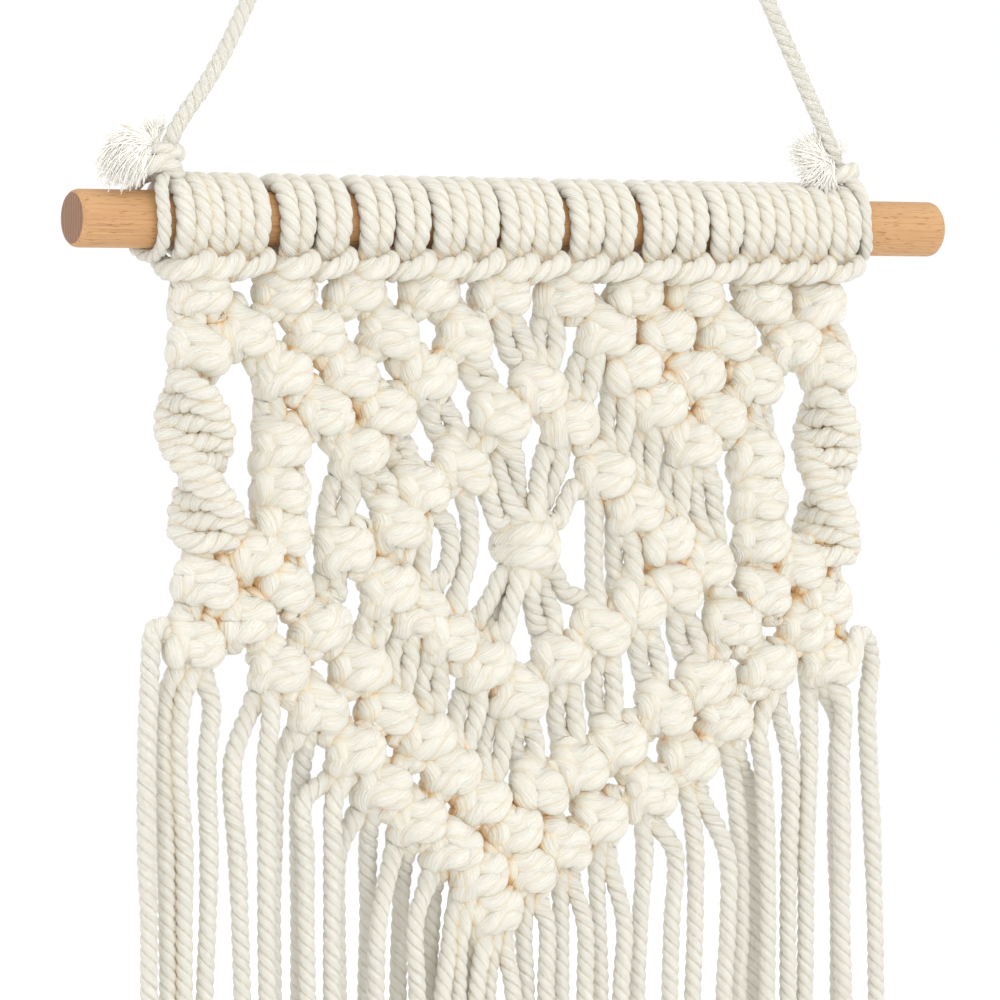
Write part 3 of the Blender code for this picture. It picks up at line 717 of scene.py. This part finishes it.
def pressing(line):
    """Where and how hard a cord is pressed flat: in the knots, and less on the dowel."""
    outward = np.zeros_like(line)
    hard = np.zeros(len(line))
    for i, point in enumerate(line):
        hub, which, away = hub_tree.find(point)
        hard[i] = grip[which] * (1.0 - min(1.0, max(0.0, (away - PRESSED_WITHIN) / PRESS_FADES)))
        outward[i] = point - np.array(hub)
        if point[2] > -ROD_DROP - HEADING_UNDER:
            hard[i] = DOWEL_PRESS
            outward[i] = (0.0, point[1], point[2] + ROD_DROP)
    outward /= np.maximum(np.linalg.norm(outward, axis=1), 1e-6)[:, None]
    even = np.ones(5) / 5
    hard = np.convolve(np.pad(hard, 2, mode="edge"), even, mode="valid")
    outward = np.stack([np.convolve(np.pad(outward[:, k], 2, mode="edge"), even, mode="valid")
                        for k in range(3)], 1)
    return outward, hard


offset = 0
for number, line in enumerate(lines):
    netted = np.interp(-ROD_DROP - line[:, 2], NETTED, (0.0, 1.0, 1.0, 0.0))
    piece = laid_cord(f"folded_cord_{number + 1:02d}", line, CORD_R + THICKER * netted,
                      hemming(offset), start_turn=number * START_TURN, pressed=pressing(line))
    offset += len(line)
    piece.data.materials.append(cotton)
    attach(piece, "root")
    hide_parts("heading", "net", "fringe", "spiral_left", "spiral_right")


# ---- ties of the hanging cord ----
# Each end of the hanging cord goes once round the dowel, outside the heading, and is knotted
# round itself on top of it. All of it is the same cord.
TIES = {                        # x, y and height above the dowel's axis, in mm
    "left": ((-86.6, -0.2, 14.0), (-87.6, -1.4, 11.6), (-89.4, -4.2, 9.4),
             (-91.1, -6.6, 6.8), (-91.3, -7.9, 2.8), (-91.0, -8.0, -1.8), (-90.5, -6.0, -5.6),
             (-90.3, -1.6, -7.9), (-91.2, 3.2, -7.4), (-92.0, 7.0, -4.0), (-92.4, 7.9, 0.4),
             (-92.4, 6.6, 4.8), (-91.6, 4.6, 8.0), (-89.0, 3.8, 10.0), (-86.2, 2.6, 10.2),
             (-84.9, -0.6, 9.6), (-86.0, -4.0, 9.6), (-88.0, -5.8, 11.2), (-90.4, -6.0, 12.2),
             (-92.8, -5.2, 11.4), (-94.2, -3.2, 10.8), (-94.0, -0.2, 11.8), (-92.4, 2.2, 13.2),
             (-89.2, 3.4, 14.2), (-85.9, 2.8, 14.8), (-84.2, -0.2, 14.6), (-86.0, -3.2, 14.2),
             (-89.2, -4.4, 14.6), (-92.0, -3.4, 15.4)),
    "right": ((86.0, -0.6, 12.8), (86.8, -3.4, 11.2), (87.9, -5.4, 9.4), (88.5, -6.9, 6.8),
              (88.6, -7.8, 4.0), (88.6, -8.0, 1.0), (89.1, -7.7, -2.4), (89.9, -6.2, -5.2),
              (90.3, -1.4, -7.9), (90.3, 3.8, -7.2), (90.1, 7.3, -3.0), (89.8, 7.8, 1.6),
              (89.2, 6.2, 6.0), (87.4, 4.4, 8.6), (84.6, 3.4, 9.8), (82.2, 0.6, 10.4),
              (82.6, -2.6, 11.4), (85.2, -4.4, 12.4), (88.0, -3.6, 13.2), (89.2, -0.6, 13.0),
              (87.4, 2.2, 13.0), (84.2, 2.8, 13.8), (81.9, 0.8, 14.4)),
}
for side, route in TIES.items():
    line = smooth_line([(x, y, z - ROD_DROP) for x, y, z in route], 0.8)
    middle = np.mean([(x, y, z - ROD_DROP) for x, y, z in route if z > 10], axis=0)
    hard = np.clip((line[:, 2] + ROD_DROP - 7.0) / 4.0, 0, 1)
    outward = np.where(hard[:, None] > 0, line - middle, line * (0, 1, 1) + (0, 0, ROD_DROP))
    outward /= np.linalg.norm(outward, axis=1)[:, None]
    tie = laid_cord(f"tie_{side}", line, radius=1.5 + 0.15 * hard, start_turn=1.0,
                    pressed=(outward, 0.1 + 0.4 * hard))
    tie.data.materials.append(cotton)
    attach(tie, "root")
    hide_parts(f"hanger_loop_{side}", f"tie_knot_{side}")


# ---- frayed ends of the hanging cord ----
# Beyond the knots the cord's ends have come undone: their yarns spread into soft brushes, and
# one strand on the left still holds together.
def brush(name, root, spread, yarns, thick, seed):
    """Loose yarns from one root. spread holds (middle, tip) pairs that they fan out between."""
    draw = np.random.default_rng(seed)
    sides = 4
    steps = 8
    t = np.linspace(0, 1, steps)[:, None]
    verts, faces = [], []
    for k in range(yarns):
        place = draw.uniform(0, len(spread) - 1)
        low = min(int(place), len(spread) - 2)
        share = place - low
        middle = np.array(spread[low][0]) * (1 - share) + np.array(spread[low + 1][0]) * share
        tip = np.array(spread[low][1]) * (1 - share) + np.array(spread[low + 1][1]) * share
        # each yarn starts, bends and ends a little off its place, and wanders on its way, in mm
        start = np.array(root) + draw.normal(0, 0.7, 3)
        middle = middle + draw.normal(0, 1.0, 3)
        tip = tip + draw.normal(0, 0.9, 3)
        reach = draw.uniform(0.72, 1.0)
        line = start * (1 - t) ** 2 + 2 * middle * t * (1 - t) + tip * t * t
        line = start + (line - start) * reach
        line = line + np.cumsum(draw.normal(0, 0.06, (steps, 3)), 0)
        width = thick * draw.uniform(0.45, 1.0) * (1 - 0.55 * t[:, 0] ** 2)
        width[0] *= 0.6
        ahead = np.gradient(line, axis=0)
        ahead /= np.linalg.norm(ahead, axis=1)[:, None]
        across = np.cross(ahead, (0.31, 0.52, 0.8))
        across /= np.linalg.norm(across, axis=1)[:, None]
        up = np.cross(ahead, across)
        first = len(verts)
        for i in range(steps):
            for j in range(sides):
                turn = 2 * math.pi * j / sides
                outward = math.cos(turn) * across[i] + math.sin(turn) * up[i]
                verts.append(line[i] + width[i] * outward)
        for i in range(steps - 1):
            for j in range(sides):
                a, b = first + i * sides + j, first + i * sides + (j + 1) % sides
                faces.append((a, b, b + sides, a + sides))
        faces.append(tuple(first + j for j in reversed(range(sides))))
        faces.append(tuple(first + (steps - 1) * sides + j for j in range(sides)))
    mesh = bpy.data.meshes.new(name)
    mesh.from_pydata([tuple((v + (0, 0, -ROD_DROP)) * MM) for v in verts], [], faces)
    for polygon in mesh.polygons:
        polygon.use_smooth = True
    piece = bpy.data.objects.new(name, mesh)
    bpy.context.collection.objects.link(piece)
    return piece


wisps, wisps_shader, start = new_material("loose_cotton")
place = start.node("ShaderNodeTexCoord", out=3)
tufts = place.noise(900.0, 3.0)
tint = (tufts * 2.0 - 0.5).mix((0.82, 0.79, 0.70, 1.0), (0.90, 0.885, 0.83, 1.0))
wisps.node_tree.links.new(tint.link, wisps_shader.inputs["Base Color"])
fuzz = start.node("ShaderNodeBump", Height=tufts, Strength=0.5, Distance=0.0003)
wisps.node_tree.links.new(fuzz.link, wisps_shader.inputs["Normal"])
wisps_shader.inputs["Roughness"].default_value = 0.95
wisps_shader.inputs["Specular IOR Level"].default_value = 0.1
wisps_shader.inputs["Sheen Weight"].default_value = 0.3

# (middle, tip) of the outermost yarns and of some between, in mm from the dowel's axis
FAN_LEFT = (((-95.6, -2.6, 20.4), (-101.6, -3.4, 17.2)), ((-100.0, -3.2, 19.4), (-105.2, -4.0, 12.0)),
            ((-100.2, -4.2, 16.4), (-104.6, -4.6, 8.0)), ((-97.0, -5.4, 14.2), (-100.6, -6.2, 6.6)),
            ((-94.0, -6.2, 13.2), (-96.4, -7.0, 7.0)))
PUFF_LEFT = (((-90.0, 3.0, 19.0), (-90.6, 4.0, 21.2)), ((-87.0, 3.4, 19.6), (-84.8, 3.8, 21.6)))
FAN_RIGHT = (((81.0, 0.4, 19.6), (80.4, 1.0, 23.0)), ((78.0, 0.4, 19.8), (75.0, 1.2, 20.6)),
             ((76.6, -1.2, 16.6), (72.6, -1.0, 16.4)), ((77.0, -3.4, 13.0), (73.6, -3.6, 10.6)),
             ((79.6, -4.8, 11.6), (77.2, -5.6, 7.6)), ((82.0, -5.0, 12.6), (81.4, -6.0, 8.6)))
SIDE_RIGHT = (((86.8, 2.0, 19.4), (87.4, 2.4, 22.4)), ((88.6, 1.6, 17.4), (91.6, 2.0, 18.8)))
for name, root, spread, yarns, thick, seed, node in (
        ("fan_left", (-92.4, -3.2, 15.2), FAN_LEFT, 520, 0.27, 3, "frayed_end_left"),
        ("puff_left", (-88.6, 2.4, 16.0), PUFF_LEFT, 130, 0.27, 4, "frayed_end_left"),
        ("fan_right", (82.2, -1.6, 14.4), FAN_RIGHT, 620, 0.27, 5, "frayed_end_right"),
        ("wisps_right", (86.2, 1.6, 16.0), SIDE_RIGHT, 40, 0.22, 6, "frayed_end_right")):
    tail = brush(name, root, spread, yarns, thick, seed)
    tail.data.materials.append(wisps)
    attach(tail, "root")
    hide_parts(node)
STRAND_ROUTE = ((-89.6, 0.4, 15.6), (-91.6, 0.2, 17.8), (-94.6, 0.0, 19.6), (-98.0, 0.0, 21.2))
STRAND_R = 0.85                 # mm, and it narrows to its tip over its last points
strand_line = smooth_line([(x, y, z - ROD_DROP) for x, y, z in STRAND_ROUTE], 0.5)
to_tip = len(strand_line) - np.arange(len(strand_line))
strand = laid_cord("single_strand_left", strand_line, start_turn=0.4,
                   radius=STRAND_R * np.sqrt(np.clip(to_tip / 2.5, 0.1, 1)))
strand.data.materials.append(wisps)
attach(strand, "root")
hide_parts("frayed_end_left")


# ---- dowel ----
# A beech dowel, sawn to length, sanded and left bare. It has straight grain with short dark
# flecks, and darker end grain. The lark's heads and the loops of the hanging cord grip it.
SAWN = 0.00025                  # metres from each end at which its end grain starts
beech, beech_shader, start = new_material("beech")
place = start.node("ShaderNodeTexCoord", out=3)
stretched = start.node("ShaderNodeVectorMath", {"operation": "MULTIPLY"}, _0=place,
                       _1=(0.14, 1.0, 1.0))
drawn_out = start.node("ShaderNodeVectorMath", {"operation": "MULTIPLY"}, _0=place,
                       _1=(0.02, 1.0, 1.0))
end_on = start.node("ShaderNodeSeparateXYZ", Vector=place)
fleck = stretched.noise(2500.0, 1.0, 0.5)
hairlines = drawn_out.noise(2200.0, 2.0, 0.6)
depth = start.node("ShaderNodeSeparateXYZ", out=1, Vector=place)
year_rings = start.maths("SINE", depth * 5200.0 + place.noise(160.0) * 9.0) * 0.5 + 0.5
bands = stretched.noise(260.0, 3.0, 0.55)
pores = place.noise(2600.0, 2.0)
tone = bands.mix((0.425, 0.194, 0.064, 1.0), (0.56, 0.31, 0.124, 1.0))
lined = (hairlines * 5.0 - 2.6).mix(tone, (0.38, 0.17, 0.065, 1.0))
flecked = (fleck * 7.5 - 4.5).mix(lined, (0.28, 0.115, 0.04, 1.0))
sawn = (year_rings * 0.5 + pores * 0.5).mix((0.13, 0.055, 0.028, 1.0), (0.29, 0.135, 0.075, 1.0))
dowel_ends = [float(corner[0]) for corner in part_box("dowel")]
from_middle = start.maths("ABSOLUTE", end_on - sum(dowel_ends) / 2)
past_end = start.maths("GREATER_THAN", from_middle, (dowel_ends[1] - dowel_ends[0]) / 2 - SAWN)
grain = past_end.mix(flecked, sawn)
beech.node_tree.links.new(grain.link, beech_shader.inputs["Base Color"])
dents = start.node("ShaderNodeBump", Height=1.0 - fleck, Strength=0.25, Distance=0.0004)
beech.node_tree.links.new(dents.link, beech_shader.inputs["Normal"])
beech_shader.inputs["Roughness"].default_value = 0.62
beech_shader.inputs["Specular IOR Level"].default_value = 0.35
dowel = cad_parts["dowel"]
dowel.data.materials.clear()
dowel.data.materials.append(beech)


# ---- backdrop and light ----
# A pale paper floor under the hanging, in a white studio that lights it softly from all round.
# The studio is brightest in front, where one weak broad lamp stands as well.
FRONT_LIGHT = (-0.10, -0.99, -0.08)      # the direction in which the studio is brightest
SIDES, FRONT_GAIN, BACK = 1.36, 0.68, 1.02    # its light at the sides, added in front, and behind
bpy.ops.object.select_all(action="DESELECT")
bpy.ops.mesh.primitive_plane_add(size=6.0, location=(0.0, 0.0, -0.62))
floor = bpy.context.object
floor.name = "floor"
paper, paper_shader, _ = new_material("backdrop_paper")
paper_shader.inputs["Base Color"].default_value = (0.97, 0.97, 0.97, 1.0)
paper_shader.inputs["Roughness"].default_value = 0.9
floor.data.materials.append(paper)
world_light = bpy.data.worlds.new("studio")
world_light.use_nodes = True
room = Socket(world_light.node_tree, None)
ahead = room.node("ShaderNodeVectorMath", {"operation": "DOT_PRODUCT"}, out=1,
                  _0=room.node("ShaderNodeTexCoord"), _1=FRONT_LIGHT)
front = room.maths("POWER", room.maths("MAXIMUM", ahead, 0.0), 3.0)
behind = room.maths("MINIMUM", room.maths("MAXIMUM", ahead * -3.0, 0.0), 1.0)
bright = front * FRONT_GAIN + behind * (BACK - SIDES) + SIDES
background = world_light.node_tree.nodes["Background"]
background.inputs["Color"].default_value = (1.0, 1.0, 1.0, 1.0)
world_light.node_tree.links.new(bright.link, background.inputs["Strength"])
bpy.context.scene.world = world_light
bpy.context.scene.view_settings.view_transform = "Standard"
bpy.context.scene.view_settings.gamma = 1.2
key = bpy.data.lights.new("key", "AREA")
key.energy = 1.0
key.size = 0.9
key_light = bpy.data.objects.new("key", key)
key_light.location = (0.3, -1.1, -0.1)
key_light.rotation_euler = Vector((-0.3, 1.1, -0.25)).to_track_quat("-Z", "Y").to_euler()
bpy.context.collection.objects.link(key_light)
